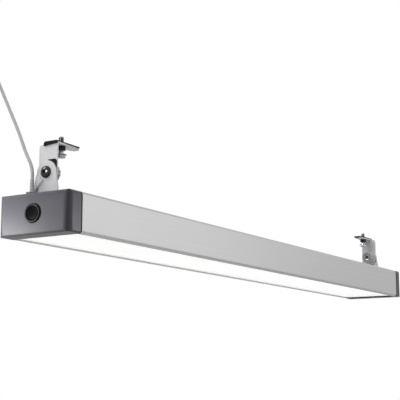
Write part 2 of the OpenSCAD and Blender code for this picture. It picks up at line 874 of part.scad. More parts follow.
module hanger_outline() {
    half = hanger_w / 2;
    shoulder_z = tongue_z - shoulder_drop;
    translate([0, pivot_z]) circle(half);
    plate2([-half, pivot_z], [tongue_w - half, tongue_z - bend_out_r]);
    plate2([-half, pivot_z], [half - shoulder_r, shoulder_z - (bend_out_r - shoulder_drop)]);
    plate2([tongue_w - half, pivot_z], [half - shoulder_r, shoulder_z]);
    plate2([-half, pivot_z], [half, shoulder_z - shoulder_r]);
    translate([half - shoulder_r, shoulder_z - shoulder_r]) circle(shoulder_r);
}

module bend_section() {
    translate([bend_out_r - plate_out, tongue_z - bend_out_r]) intersection() {
        difference() {
            circle(bend_out_r);
            circle(bend_in_r);
        }
        translate([-bend_out_r, 0]) square(bend_out_r);
    }
}

module tongue_plan(grow) {
    root = bend_out_r - plate_out;
    tip = tongue_len - plate_out + grow;
    middle = -stud_y;
    corner = 3;
    polygon([[root, middle - tongue_w / 2], [tip - corner, middle - tip_w / 2 - grow - 0.8],
        [tip, middle - tip_w / 2 + corner], [tip, middle + tip_w / 2 - corner],
        [tip - corner, middle + tip_w / 2 + grow + 0.8], [root, middle + tongue_w / 2]]);
}

module hanger() {
    color("lightgray") difference() {
        union() {
            along_x(-plate_out, -plate_in) hanger_outline();
            along_y(-hanger_w / 2, tongue_w - hanger_w / 2) bend_section();
            along_z(tongue_z - sheet_t, tongue_z) tongue_plan(0);
        }
        pivot_bar(-plate_out - 1, -plate_in + 1, stud_r + fit);
        bar(-stud_x, -stud_y, tongue_z - sheet_t - 1, tongue_z + 1, stud_r + fit);
    }
}

module hanger_left() {
    hanger();
}

module hanger_right() {
    right_end() hanger();
}

// Rubber pad on the tongue, with a slanting lip over the bend and a cap round the tip
lip_t = 2;
lip_h = 3.4;
lip_slope = 3;
module rail_pads() {
    half = hanger_w / 2;
    tip = tongue_len - plate_out;
    color("black") both_ends() difference() {
        union() {
            along_z(tongue_z, 0) {
                tongue_plan(1.5);
                plate2([-plate_out - 0.5, -half], [bend_out_r - plate_out + 1, tongue_w - half]);
            }
            along_x(-plate_out - lip_t, -plate_out) polygon([[-half, -lip_h - 0.5],
                [-half, 0], [tongue_w - half, 0], [tongue_w - half + 2, -lip_slope],
                [tongue_w - half + 2, -lip_h - lip_slope]]);
            block([tip, -stud_y - tip_w / 2 + 2, tongue_z - sheet_t],
                [tip + 1.5, -stud_y + tip_w / 2 - 2, 0]);
        }
        bar(-stud_x, -stud_y, -10, 1, stud_r + fit);
    }
}

// Clamp bolt with its flanged head below, its nut under the tongue and its stud above

module clamp_bolts() {
    seat_z = tongue_z - sheet_t - nut_h - bolt_gap;
    color("gainsboro") both_ends() translate([-stud_x, -stud_y, 0]) {
        translate([0, 0, seat_z]) cylinder(r = stud_r - shank_ease, h = -seat_z);
        cylinder(r = stud_r, h = stud_reach - 1);
        translate([0, 0, stud_reach - 1]) cylinder(r1 = stud_r, r2 = stud_r - 1, h = 1);
        translate([0, 0, seat_z - flange_t]) cylinder(r = bolt_flange_r, h = flange_t);
        translate([0, 0, seat_z - bolt_head_h]) hex_prism(nut_af, bolt_head_h);
    }
}

module clamp_nuts() {
    color("dimgray") both_ends() translate([-stud_x, -stud_y, tongue_z - sheet_t - nut_h])
        difference() {
            hex_prism(nut_af, nut_h);
            translate([0, 0, -1]) cylinder(r = stud_r + fit, h = nut_h + 2);
        }
}

// Pivot hardware, from the outside inwards

module pivot_screws() {
    color("black") both_ends() {
        pivot_bar(-head_seat, 1.5 - knob_in, stud_r);
        translate([-head_seat, 0, pivot_z]) rotate([0, -90, 0]) difference() {
            union() {
                cylinder(d = pivot_head_d, h = flange_t);
                intersection() {
                    cylinder(d = pivot_head_d - 1, h = head_h);
                    translate([0, 0, head_h - head_sphere_r]) sphere(head_sphere_r);
                }
            }
            translate([0, 0, head_h - 2.6]) hex_prism(socket_af, 4);
        }
    }
}

// The washer has a round-cornered lug up to the hanger's edge, which keeps it from turning
module friction_washers() {
    color("black") both_ends() along_x(-washer_out, -plate_out) difference() {
        union() {
            translate([0, pivot_z]) circle(ear_r);
            plate2([-hanger_w / 2, pivot_z], [0, pivot_z + lug_h - lug_r]);
            plate2([lug_r - hanger_w / 2, pivot_z], [0, pivot_z + lug_h]);
            translate([lug_r - hanger_w / 2, pivot_z + lug_h - lug_r]) circle(lug_r);
        }
        translate([0, pivot_z]) circle(stud_r + fit);
    }
}

module knob_washers() {
    color("gainsboro") both_ends() difference() {
        pivot_bar(-plate_in, knob_washer_t - plate_in, stud_d + 1);
        pivot_bar(-plate_in - 1, knob_washer_t - plate_in + 1, stud_r + fit);
    }
}

module knob() {
    color("black") translate([-knob_out, 0, pivot_z]) rotate([0, 90, 0]) difference() {
        union() {
            cylinder(r = stud_d + 1, h = knob_h - 1);
            translate([0, 0, 2]) cylinder(d1 = knob_d - 3, d2 = knob_d, h = 1.5);
            translate([0, 0, 3.5]) cylinder(d = knob_d, h = knob_h - 5);
            translate([0, 0, knob_h - 1.5]) cylinder(d1 = knob_d, d2 = knob_d - 3, h = 1.5);
        }
        for (i = [0:grip_count - 1]) rotate([0, 0, 360 * i / grip_count])
            translate([knob_d / 2 + grip_r - 1, 0, -1]) cylinder(r = grip_r, h = knob_h + 2, $fn = 32);
        translate([0, 0, -1]) cylinder(r = stud_r + fit, h = knob_h + 2);
        translate([0, 0, knob_h - insert_h]) hex_prism(nut_af + 2 * fit, knob_h);
    }
}

module knob_nut() {
    color("gainsboro") translate([-knob_in, 0, pivot_z]) rotate([0, -90, 0])
        difference() {
            hex_prism(nut_af, insert_h);
            translate([0, 0, -1]) cylinder(r = stud_r + fit, h = insert_h + 2);
        }
}

module left_knob() {
    knob();
}

module left_knob_nut() {
    knob_nut();
}

module right_knob() {
    right_end() knob();
}

module right_knob_nut() {
    right_end() knob_nut();
}

housing();
end_cap_left();
end_cap_right();
cap_gaskets();
cap_screws();
diffuser();
gear_tray();
tray_screws();
reflectors();
led_boards();
led_chips();
board_screws();
driver_case();
driver_lid();
driver_board();
driver_parts();
driver_screws();
terminal_block();
terminal_screws();
earth_screw();
mains_wires();
led_wires();
switch_wires();
button_bezel();
button_nut();
switch_block();
button_spring();
button_cap();
cable_gland();
gland_nut();
strain_relief();
cord();
cord_grip();
rose_cover();
rose_base();
rose_pad();
foot_left();
foot_right();
foot_screws();
nut_plates();
hanger_left();
hanger_right();
rail_pads();
clamp_bolts();
clamp_nuts();
pivot_screws();
friction_washers();
knob_washers();
left_knob();
left_knob_nut();
right_knob();
right_knob_nut();
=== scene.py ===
from math import cos, pi, radians, sin, sqrt

import bmesh
import bpy
from mathutils import Matrix, Vector


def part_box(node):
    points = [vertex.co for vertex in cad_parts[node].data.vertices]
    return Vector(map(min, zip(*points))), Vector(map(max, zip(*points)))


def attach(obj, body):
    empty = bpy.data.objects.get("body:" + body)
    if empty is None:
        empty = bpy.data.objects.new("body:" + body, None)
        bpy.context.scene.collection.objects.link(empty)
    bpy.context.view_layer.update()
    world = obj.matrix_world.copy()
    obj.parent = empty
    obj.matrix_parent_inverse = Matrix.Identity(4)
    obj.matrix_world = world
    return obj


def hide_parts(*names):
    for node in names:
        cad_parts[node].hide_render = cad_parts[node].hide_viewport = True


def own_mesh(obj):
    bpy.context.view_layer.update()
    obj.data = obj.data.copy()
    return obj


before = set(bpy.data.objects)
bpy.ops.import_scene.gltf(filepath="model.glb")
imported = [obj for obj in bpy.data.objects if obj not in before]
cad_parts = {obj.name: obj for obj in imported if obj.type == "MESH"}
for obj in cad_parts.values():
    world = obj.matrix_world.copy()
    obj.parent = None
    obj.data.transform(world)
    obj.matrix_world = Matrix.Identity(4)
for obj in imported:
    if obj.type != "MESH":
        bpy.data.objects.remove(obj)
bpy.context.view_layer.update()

scene = bpy.context.scene

# ---- Camera
# It stands low at the button end of the light and looks up along it, as the
# photograph's camera did: a long lens, 10 degrees above level.
camera = bpy.data.objects.new("photo_camera", bpy.data.cameras.new("photo_camera"))
scene.collection.objects.link(camera)
camera.location = (-1.74391, -0.96102, -0.34913)
camera.rotation_euler = (radians(90 + 10.061), 0, radians(-58.524))
camera.data.sensor_width = 36
camera.data.lens = 95.77
camera.data.clip_end = 60
scene.camera = camera


# ---- Mains cord
# A light grey 5 mm round cord with a smooth PVC sheath. It leaves its sleeve on the
# button end's cap, bends back and runs straight up to a small ceiling rose.
def linear(code):
    """Turns an sRGB hex colour into the linear colour that a socket takes."""
    parts = [int(code[i:i + 2], 16) / 255 for i in (0, 2, 4)]
    return [c / 12.92 if c <= 0.04045 else ((c + 0.055) / 1.055) ** 2.4 for c in parts] + [1]


def add_node(tree, kind, inputs, **settings):
    """Adds a node. An input is a value, or another node's output to link."""
    node = tree.nodes.new(kind)
    for name, value in settings.items():
        setattr(node, name, value)
    for name, value in inputs.items():
        if isinstance(value, bpy.types.NodeSocket):
            tree.links.new(value, node.inputs[name])
        else:
            node.inputs[name].default_value = value
    return node


def start_material(name, **sockets):
    """A new material, its node tree, its shader with these sockets set, and its coordinates."""
    material = bpy.data.materials.new(name)
    material.use_nodes = True
    tree = material.node_tree
    shader = tree.nodes["Principled BSDF"]
    for socket, value in sockets.items():
        shader.inputs[socket.replace("_", " ")].default_value = value
    return material, tree, shader, add_node(tree, "ShaderNodeTexCoord", {}).outputs["Object"]


def noise(tree, place, scale, detail):
    """A noise pattern. Its scale is 1000 over the size of its grains in millimetres."""
    inputs = {"Vector": place, "Scale": scale, "Detail": detail}
    return add_node(tree, "ShaderNodeTexNoise", inputs).outputs["Fac"]


def tone(tree, pattern, light, dark):
    """A colour that goes from one hex tone to another with a pattern."""
    inputs = {0: pattern, 6: linear(light), 7: linear(dark)}
    return add_node(tree, "ShaderNodeMix", inputs, data_type="RGBA").outputs[2]


def sheen(tree, pattern, low, high):
    """A roughness that goes from low to high with a pattern."""
    inputs = {"Value": pattern, "To Min": low, "To Max": high}
    return add_node(tree, "ShaderNodeMapRange", inputs).outputs[0]


def relief(tree, pattern, depth_mm, strength):
    """A bump of this depth from a pattern."""
    inputs = {"Height": pattern, "Distance": depth_mm / 1000, "Strength": strength}
    return add_node(tree, "ShaderNodeBump", inputs).outputs[0]


def connect(tree, shader, **outputs):
    """Links each output to the shader's socket of that name."""
    for socket, output in outputs.items():
        tree.links.new(output, shader.inputs[socket.replace("_", " ")])


def moulded(name, light, dark, roughness, grain_mm, depth_mm, patch_mm=25, **sockets):
    """Plastic or rubber from a mould: a slow change of tone and a fine spark grain."""
    material, tree, shader, place = start_material(name, IOR=1.5, **sockets)
    patch = noise(tree, place, 1000 / patch_mm, 3)
    grain = noise(tree, place, 1000 / grain_mm, 2)
    connect(tree, shader, Base_Color=tone(tree, patch, light, dark),
            Roughness=sheen(tree, grain, roughness - 0.06, roughness + 0.06),
            Normal=relief(tree, grain, depth_mm, 0.6))
    return material


cord_sheath = moulded("smooth_grey_pvc_sheath", "b9b8bb", "a9a8ac", 0.42, 1.6, 0.02)

# the same points as the CAD route: (Y, Z) in millimetres from the mouth of the sleeve
cord_route = [(0, 0), (0, 5), (0.6, 11), (2, 17), (4.6, 23.5), (8, 30), (11.6, 36.5), (15, 43),
              (18.2, 50), (21.5, 57.5), (27, 69.5), (33, 81.5), (39, 93), (45, 104.5), (51, 116),
              (57, 127.5), (63, 139), (69, 150.5), (75, 162), (81, 173.5), (86.5, 184.5),
              (90.5, 193), (92.5, 198.5), (93, 202), (93, 205)]
mouth_x, mouth_y, mouth_z = -0.603, 0.017, -0.055
cord_points = [(mouth_x, mouth_y + y / 1000, mouth_z + z / 1000) for y, z in cord_route]
cord_line = bpy.data.curves.new("mains_cord", "CURVE")
cord_line.dimensions = "3D"
cord_line.bevel_depth = 0.0025
cord_line.bevel_resolution = 5
cord_line.resolution_u = 4
cord_line.use_fill_caps = True
spline = cord_line.splines.new("BEZIER")
spline.bezier_points.add(len(cord_points) - 1)
for knot, point in zip(spline.bezier_points, cord_points):
    knot.co = point
    knot.handle_left_type = knot.handle_right_type = "AUTO"
cord_line.materials.append(cord_sheath)
mains_cord = bpy.data.objects.new("mains_cord", cord_line)
scene.collection.objects.link(mains_cord)
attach(mains_cord, "luminaire")
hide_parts("cord")


# ---- Cord sleeve and gland
# The sleeve is a soft tapered moulding with ring grooves, 20 mm long, that keeps the
# cord from kinking. It comes out of a hexagon gland screwed into the end cap.
def spun(profile, steps=48):
    """A solid of revolution about Z from (radius, height) points in millimetres."""
    bm = bmesh.new()
    ring = [bm.verts.new((r, 0, z)) for r, z in profile]
    edges = [bm.edges.new(pair) for pair in zip(ring, ring[1:])]
    bmesh.ops.spin(bm, geom=ring + edges, cent=(0, 0, 0), axis=(0, 0, 1), angle=2 * pi,
                   steps=steps, use_merge=True)
    bmesh.ops.remove_doubles(bm, verts=bm.verts, dist=0.0005)
    return bm


def join(whole, part, matrix):
    """Puts a copy of one mesh into another, through a matrix."""
    mesh = bpy.data.meshes.new("part")
    part.to_mesh(mesh)
    mesh.transform(matrix)
    whole.from_mesh(mesh)
    bpy.data.meshes.remove(mesh)


def finish_piece(name, bm, material, body, slot, *nodes, metres=0.001, place=None):
    """Makes the piece of a mesh, on its CAD body and in place of its CAD nodes.

    place moves the mesh first, and metres is the length of one of its units."""
    if place is not None:
        bmesh.ops.transform(bm, matrix=place, verts=bm.verts)
    bmesh.ops.scale(bm, vec=(metres,) * 3, verts=bm.verts)
    bmesh.ops.recalc_face_normals(bm, faces=bm.faces)
    for face in bm.faces:
        face.smooth = True
    mesh = bpy.data.meshes.new(name)
    bm.to_mesh(mesh)
    bm.free()
    mesh.set_sharp_from_angle(angle=radians(33))
    mesh.materials.append(material)
    piece = bpy.data.objects.new(name, mesh)
    scene.collection.objects.link(piece)
    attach(piece, body)
    if nodes:
        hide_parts(*nodes)
    return piece


def hexagon(across, low, high, edge, bore=0):
    """A chamfered hexagon bar on Z, with a shallow six-sided recess at each end for a bore."""
    bm = bmesh.new()
    bmesh.ops.create_cone(bm, cap_ends=True, segments=6, radius1=across / sqrt(3),
                          radius2=across / sqrt(3), depth=high - low)
    bmesh.ops.translate(bm, vec=(0, 0, (low + high) / 2), verts=bm.verts)
    rims = [e for e in bm.edges if abs(e.verts[0].co.z - e.verts[1].co.z) < 0.001]
    bmesh.ops.bevel(bm, geom=rims, offset=edge, offset_type="OFFSET", affect="EDGES",
                    segments=2, profile=0.5, material=-1)
    if bore:
        recess = 0.6
        for z in (low, high):
            face = next(f for f in bm.faces if abs(abs(f.normal.z) - 1) < 0.001
                        and abs(f.calc_center_median().z - z) < 0.001)
            bmesh.ops.inset_individual(bm, faces=[face], thickness=across / 2 - bore - 0.3,
                                       depth=0)
            bmesh.ops.translate(bm, vec=(0, 0, recess if z == low else -recess),
                                verts=face.verts)
    return bm


cord_place = Matrix.Translation((-603, 17, 0))
sleeve = spun([(0, -85), (2.5, -85), (2.5, -75), (3.5, -75), (3.5, -73), (3.1, -72.6),
               (3.1, -71.6), (3.4, -71.2), (3.4, -69), (3.0, -68.6), (3.0, -67.6),
               (3.25, -67.2), (3.25, -65), (2.85, -64.6), (2.85, -63.6), (3.1, -63.2),
               (3.1, -61), (2.75, -60.6), (2.75, -59.6), (2.95, -59.2), (2.9, -56),
               (2.7, -55.2), (2.5, -55), (0, -55)], 32)
finish_piece("cord_sleeve", sleeve, cord_sheath, "luminaire", "cord_sheath", "strain_relief",
             place=cord_place)
gland_plastic = moulded("glass_filled_nylon_light_grey", "9a999d", "8d8c91", 0.5, 0.9, 0.03)
finish_piece("cord_gland", hexagon(15, -78.5, -75, 0.7), gland_plastic, "luminaire",
             "cord_sheath", "cable_gland", place=cord_place)

# ---- Ceiling rose
# The fitting at the cord's far end, above the photograph: a white moulded cup with a
# rounded rim on a round base, a foam pad against the ceiling, and the cord's grip.
rose_place = Matrix.Translation((-603, 110, 0))
rose_plastic = moulded("white_urea_moulding", "e6e6e3", "dededb", 0.35, 1.2, 0.01)
rose = spun([(4.1, 156.5), (4.1, 154.4), (4.6, 154), (12.6, 154), (13.8, 154.5),
             (14.6, 155.4), (15, 156.6), (15, 163.4), (14.8, 163.8), (14.8, 164.2),
             (15, 164.6), (15, 165.8), (14.7, 166), (13.4, 166), (13.4, 158), (12, 155.6),
             (4.1, 155.6)], 64)
rose_cup = finish_piece("rose_cup", rose, rose_plastic, "luminaire", "rose_white",
                        "rose_cover", place=rose_place)
plate = spun([(0, 163), (13, 163), (13.34, 163.3), (13.34, 166), (0, 166)], 64)
rose_plate = finish_piece("rose_plate", plate, rose_plastic, "luminaire", "rose_white",
                          "rose_base", place=rose_place)
foam = spun([(0, 166), (13, 166), (13.4, 166.3), (13.4, 166.7), (13, 167), (0, 167)], 64)
grey_foam = moulded("closed_cell_foam_grey", "5c5c5e", "505053", 0.9, 1.1, 0.2)
rose_foam = finish_piece("rose_foam", foam, grey_foam, "luminaire", "rose_foam", "rose_pad",
                         place=rose_place)
grip = spun([(0, 150), (3, 150), (3.6, 150.4), (4, 151.5), (4, 152.4), (3.6, 152.8),
             (3.6, 153.4), (4, 153.8), (4, 158.6), (0, 158.6)], 32)
rose_grip = finish_piece("rose_grip", grip, cord_sheath, "luminaire", "cord_sheath",
                         "cord_grip", place=rose_place)


# ---- Gear tray and reflector
# Steel sheet 1.2 mm thick that lies across the housing's ribs and carries everything
# electrical, with white reflector wings below it. Both are powder coated white.
def coated(name, light, dark, roughness, peel_mm, depth_mm):
    """Powder coat on sheet metal: an even film with a fine orange peel."""
    material, tree, shader, place = start_material(name, IOR=1.5)
    cloud = noise(tree, place, 1000 / 18, 2)
    peel = add_node(tree, "ShaderNodeTexVoronoi", {"Vector": place, "Scale": 1000 / peel_mm},
                    feature="SMOOTH_F1").outputs["Distance"]
    connect(tree, shader, Base_Color=tone(tree, cloud, light, dark),
            Roughness=sheen(tree, peel, roughness - 0.04, roughness + 0.06),
            Normal=relief(tree, peel, depth_mm, 0.5))
    return material


def coat_nodes(material, *names):
    """Gives CAD nodes that stay in view their material."""
    for name in names:
        for material_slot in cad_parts[name].material_slots:
            material_slot.material = material


coat_nodes(coated("white_powder_coat", "ecece8", "e4e4df", 0.45, 1.4, 0.02),
           "gear_tray", "reflectors")

# ---- Circuit boards and diodes
# Aluminium-cored boards with white solder mask, on nylon screws. Each carries mid-power
# diodes: white packages over yellow phosphor.
coat_nodes(moulded("white_solder_mask", "e9ebe4", "dfe1da", 0.35, 0.8, 0.01, 12), "led_boards")
coat_nodes(moulded("phosphor_resin", "e8cf6a", "d9b94a", 0.25, 0.5, 0.02, 3), "led_chips")
coat_nodes(moulded("natural_nylon", "e4e2da", "d6d4cc", 0.5, 0.8, 0.02, 6), "board_screws")


# ---- Driver, terminal and leads
# The driver's case and lid are zinc-plated sheet over a green board. Beside it stand
# the mains terminal with brass screws, the earth screw, and PVC leads in their colours.
def metal(name, light, dark, roughness, streak_mm, axis):
    """Bare or plated metal with fine streaks along one axis, as rolled or drawn."""
    material, tree, shader, place = start_material(name, Metallic=1.0)
    stretch = [1000 / streak_mm] * 3
    stretch[axis] = stretch[axis] / 40
    lines = add_node(tree, "ShaderNodeMapping", {"Vector": place, "Scale": stretch})
    streak = noise(tree, lines.outputs[0], 1.0, 4)
    connect(tree, shader, Base_Color=tone(tree, streak, light, dark),
            Roughness=sheen(tree, streak, roughness - 0.08, roughness + 0.08),
            Normal=relief(tree, streak, 0.01, 0.4))
    return material


plated_screw = metal("bright_zinc_plating", "a6a8ad", "7e8085", 0.22, 0.6, 2)
coat_nodes(metal("zinc_plated_sheet", "b4b6ba", "9c9ea3", 0.38, 1.2, 0),
           "driver_case", "driver_lid")
coat_nodes(moulded("green_solder_mask", "1f6a3a", "17552d", 0.3, 0.7, 0.02, 8), "driver_board")
coat_nodes(moulded("potted_components", "b98d2f", "96701f", 0.4, 1.0, 0.04, 5), "driver_parts")
coat_nodes(moulded("white_polyamide", "e2e1dc", "d8d7d1", 0.45, 0.9, 0.02), "terminal_block")
coat_nodes(metal("turned_brass", "c9a45a", "ab8540", 0.3, 0.5, 2),
           "terminal_screws", "earth_screw")
coat_nodes(moulded("brown_blue_green_pvc", "5b4534", "4c3829", 0.4, 1.0, 0.02, 30),
           "mains_wires")
coat_nodes(moulded("red_pvc", "b01c1c", "981414", 0.4, 1.0, 0.02, 30), "led_wires")
coat_nodes(moulded("orange_pvc", "d06a14", "b8590d", 0.4, 1.0, 0.02, 30), "switch_wires")
coat_nodes(plated_screw, "driver_screws", "tray_screws", "nut_plates")


# ---- Housing
# One length of aluminium extrusion, 1180 mm, natural anodised. The die leaves hair-fine
# lines along it, and the anodised skin spreads highlights evenly without a mirror image.
def merged(name):
    """A copy of a CAD node's mesh with its loose triangles joined into whole faces."""
    bm = bmesh.new()
    bm.from_mesh(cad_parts[name].data)
    bmesh.ops.remove_doubles(bm, verts=bm.verts, dist=0.000005)
    bmesh.ops.dissolve_limit(bm, angle_limit=radians(0.5), verts=bm.verts, edges=bm.edges,
                             use_dissolve_boundaries=False)
    return bm


def round_edges(piece, width_mm, segments=2):
    """A small radius on every edge that a cutter or a mould would leave."""
    edge = piece.modifiers.new("edge_radius", "BEVEL")
    edge.width = width_mm / 1000
    edge.segments = segments
    edge.limit_method = "ANGLE"
    edge.angle_limit = radians(40)
    edge.use_clamp_overlap = True
    edge.harden_normals = True


anodised, tree, shader, place = start_material("natural_anodised_aluminium", Metallic=1.0)
# die lines are 0.1 mm wide in life; 1.2 mm lines are the finest that show here
die_lines = add_node(tree, "ShaderNodeMapping", {"Vector": place, "Scale": (1.5, 830, 830)})
lines = noise(tree, die_lines.outputs[0], 1.0, 5)
connect(tree, shader, Base_Color=tone(tree, lines, "b0b0b0", "a4a4a4"),
        Roughness=sheen(tree, noise(tree, place, 6.0, 2), 0.36, 0.44),
        Normal=relief(tree, lines, 0.02, 0.35))
round_edges(finish_piece("extruded_housing", merged("housing"), anodised, "luminaire",
                         "anodised_aluminium", "housing", metres=1), 0.3)

# ---- Diffuser
# A 2.5 mm sheet of opal acrylic that slides along the lips of the housing. The diodes
# behind it make it glow evenly, and its cut edges are polished.
opal, tree, shader, place = start_material("opal_acrylic", IOR=1.49, Roughness=0.32)
tint = tone(tree, noise(tree, place, 9.0, 1), "fbfbf9", "f6f6f3")
connect(tree, shader, Base_Color=tint, Emission_Color=tint,
        Normal=relief(tree, noise(tree, place, 700, 2), 0.01, 0.3))
shader.inputs["Emission Strength"].default_value = 0.25
low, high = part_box("diffuser")
sheet = bmesh.new()
bmesh.ops.create_cube(sheet, size=1)
bmesh.ops.scale(sheet, vec=[(b - a) * 1000 for a, b in zip(low, high)], verts=sheet.verts)
bmesh.ops.translate(sheet, vec=[(a + b) * 500 for a, b in zip(low, high)], verts=sheet.verts)
bmesh.ops.bevel(sheet, geom=sheet.edges, offset=0.3, offset_type="OFFSET", affect="EDGES",
                segments=2, profile=0.5, material=-1)
finish_piece("opal_diffuser", sheet, opal, "luminaire", "opal_acrylic", "diffuser")

# ---- End caps and gaskets
# Dark grey polycarbonate mouldings with a fine spark-eroded grain, and a black rubber
# gasket between each cap and the extrusion. The upright corners are well rounded. A 2 mm
# band of the cap's edge at the joint takes the black rubber too: painted shade that reads
# as a thin black line where the cap's rounded edge is in shadow, beside the real gasket.
cap_plastic = moulded("spark_grained_polycarbonate", "4b4a51", "454449", 0.42, 1.5, 0.04, 30,
                      Specular_IOR_Level=0.12)
black_rubber = moulded("black_epdm_rubber", "101011", "0b0b0c", 0.7, 1.2, 0.03, 15,
                       Specular_IOR_Level=0.2)
joint_x = 0.5908
rim_y, rim_top, rim_bottom = 0.0625, -0.080, -0.1370  # the cap's outline lies beyond
# where the band of painted shade on the cap's edge starts and ends
painted_shade_start, painted_shade_end = 0.5905, 0.5930
for side, sign in (("left", -1), ("right", 1)):
    cap = merged(f"end_cap_{side}")
    joint = [e for e in cap.edges if all(abs(abs(v.co.x) - joint_x) < 0.00001 for v in e.verts)
             and any(abs(v.co.y) > rim_y or v.co.z > rim_top or v.co.z < rim_bottom
                     for v in e.verts)]
    # a fine bevel breaks the outline at the joint, and a cut marks where the painted shade band
    # ends
    bmesh.ops.bevel(cap, geom=joint, offset=0.0004, offset_type="OFFSET", affect="EDGES",
                    segments=3, profile=0.5, material=-1, clamp_overlap=True)
    bmesh.ops.bisect_plane(cap, geom=cap.verts[:] + cap.edges[:] + cap.faces[:],
                           dist=0.000001, plane_co=(sign * painted_shade_end, 0, 0), plane_no=(1, 0, 0))
    # the band's faces take the black rubber as painted shade for the cap's shadowed edge
    for face in cap.faces:
        if painted_shade_start < abs(face.calc_center_median().x) < painted_shade_end:
            face.material_index = 1
    end_cap = finish_piece(f"{side}_end_cap", cap, cap_plastic, "luminaire",
                           "cap_plastic", f"end_cap_{side}", metres=1)
    end_cap.data.materials.append(black_rubber)
    round_edges(end_cap, 0.5, 3)
coat_nodes(black_rubber, "cap_gaskets")


# ---- Socket screws of the caps and feet
# Button-head screws in bright zinc: M4 in the caps' tabs and M5 in the feet. Each head
# is a low dome with a hexagon socket.
def socket_head(profile, across, depth):
    """A spun head whose inner rim, the profile's first point, runs into a hexagon socket."""
    bm = spun(profile)
    rim = [e for e in bm.edges if e.is_boundary and
           all(abs(v.co.z - profile[0][1]) < 0.001 for v in e.verts)]
    for drop in (0, depth):
        grown = bmesh.ops.extrude_edge_only(bm, edges=rim)["geom"]
        rim = [g for g in grown if isinstance(g, bmesh.types.BMEdge)]
        for vert in [g for g in grown if isinstance(g, bmesh.types.BMVert)]:
            reach = sqrt(vert.co.x ** 2 + vert.co.y ** 2)
            turn = (vert.co.to_2d().angle_signed((1, 0)) + 2 * pi) % (pi / 3)
            wanted = across / 2 / cos(turn - pi / 6)
            vert.co.x *= wanted / reach
            vert.co.y *= wanted / reach
            vert.co.z -= drop
    bmesh.ops.edgeloop_fill(bm, edges=rim)
    return bm


def at_each(part, xs, ys, z):
    """One mesh with a copy of the part at each of these places."""
    whole = bmesh.new()
    for x in xs:
        for y in ys:
            join(whole, part, Matrix.Translation((x, y, z)))
    return whole


m4_head = socket_head([(1.6, 2.2), (2.2, 2.1), (2.9, 1.75), (3.5, 1.1), (3.8, 0.4), (3.7, 0),
                       (2, 0), (2, -3), (0, -3)], 2.5, 1.3)
finish_piece("cap_socket_screws", at_each(m4_head, (-584, 584), (-35, 35), -78.5),
             plated_screw, "luminaire", "steel_screws", "cap_screws")
m5_head = socket_head([(2.0, 2.75), (2.8, 2.6), (3.7, 2.1), (4.4, 1.3), (4.75, 0.5), (4.6, 0),
                       (2.5, 0), (2.5, -2), (0, -2)], 3.0, 1.5)
finish_piece("foot_socket_screws", at_each(m5_head, (-571.2, 571.2), (-13, 13), -76),
             plated_screw, "luminaire", "steel_screws", "foot_screws")

# ---- Push button
# A black bezel with a rounded rim holds a dished push button, 21 mm across.
# Behind the cap it is held by a ring nut and works a contact block through its stem.
button_place = Matrix.Translation((-620, 0, -108.5)) @ Matrix.Rotation(-pi / 2, 4, "Y")
black_grained = moulded("black_polyamide", "0d0d0e", "09090a", 0.45, 0.9, 0.02, 12,
                        Specular_IOR_Level=0.12)
black_gloss = moulded("polished_black_acetal", "070708", "050506", 0.45, 3.0, 0.004, 8,
                      Specular_IOR_Level=0.1)
bezel = spun([(10.7, -9), (10.7, 1.2), (10.9, 1.7), (11.3, 1.95), (11.8, 2), (12.9, 1.9),
              (13.7, 1.5), (14.1, 0.9), (14.25, 0.2), (14.25, 0), (11.5, 0), (11.5, -16),
              (9.5, -16), (9.5, -11), (3.3, -11), (3.3, -9), (10.7, -9)], 96)
finish_piece("button_ring", bezel, black_grained, "luminaire", "black_plastic", "button_bezel",
             place=button_place)
dish_r, dish_top, dish_depth = 9.2, 1.4, 1.6
dish = [(dish_r * i / 12, dish_top - dish_depth * (1 - (i / 12) ** 2)) for i in range(13)]
press = spun(dish + [(9.6, 1.4), (10.0, 1.35), (10.3, 1.1), (10.4, 0.7), (10.4, -2.6),
                     (3, -2.6), (3, -11.1), (4.2, -11.1), (4.2, -13.1), (3, -13.1), (3, -17),
                     (0, -17)], 96)
finish_piece("dished_button", press, black_gloss, "button", "button_gloss", "button_cap",
             place=button_place)
coat_nodes(black_grained, "button_nut", "gland_nut")
coat_nodes(moulded("red_contact_block", "8c1f1c", "741614", 0.4, 1.0, 0.02), "switch_block")
spring_wire = metal("drawn_spring_wire", "b2b4b8", "8f9195", 0.25, 0.4, 0)
spring = finish_piece("return_spring", merged("button_spring"), spring_wire, "luminaire",
                      "spring_steel", "button_spring", metres=1)
# The spring is 6.2 mm long at rest and loses the button's 2.5 mm at full press.
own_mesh(spring)

# ---- Feet
# Angle brackets of 2.5 mm steel sheet, laser cut, bent and powder coated light grey. The
# ear has a raised facet pressed into it beside the tilt screw. The facet's slanting edge
# is drawn back at its top, so that it slopes down to the ear as a pressing does.
grey_coat = coated("light_grey_powder_coat", "dcdbde", "d4d3d6", 0.42, 1.6, 0.05)
facet_x = 0.5958
slope_run = 0.0022
for side in ("left", "right"):
    foot = merged(f"foot_{side}")
    for edge in foot.edges:
        ends = [v.co for v in edge.verts]
        across, up = ends[1].y - ends[0].y, ends[1].z - ends[0].z
        slanting = min(abs(across), abs(up)) > 0.004
        if slanting and all(abs(abs(end.x) - facet_x) < 0.00002 for end in ends):
            face = next(f for f in edge.link_faces if abs(f.normal.x) > 0.9)
            shift = Vector((0, up, -across)).normalized() * slope_run
            if shift.dot(face.calc_center_median() - ends[0]) < 0:
                shift.negate()
            for end in ends:
                end += shift
            break
    round_edges(finish_piece(f"{side}_foot", foot, grey_coat, "luminaire",
                             "grey_coat", f"foot_{side}", metres=1), 0.45, 3)

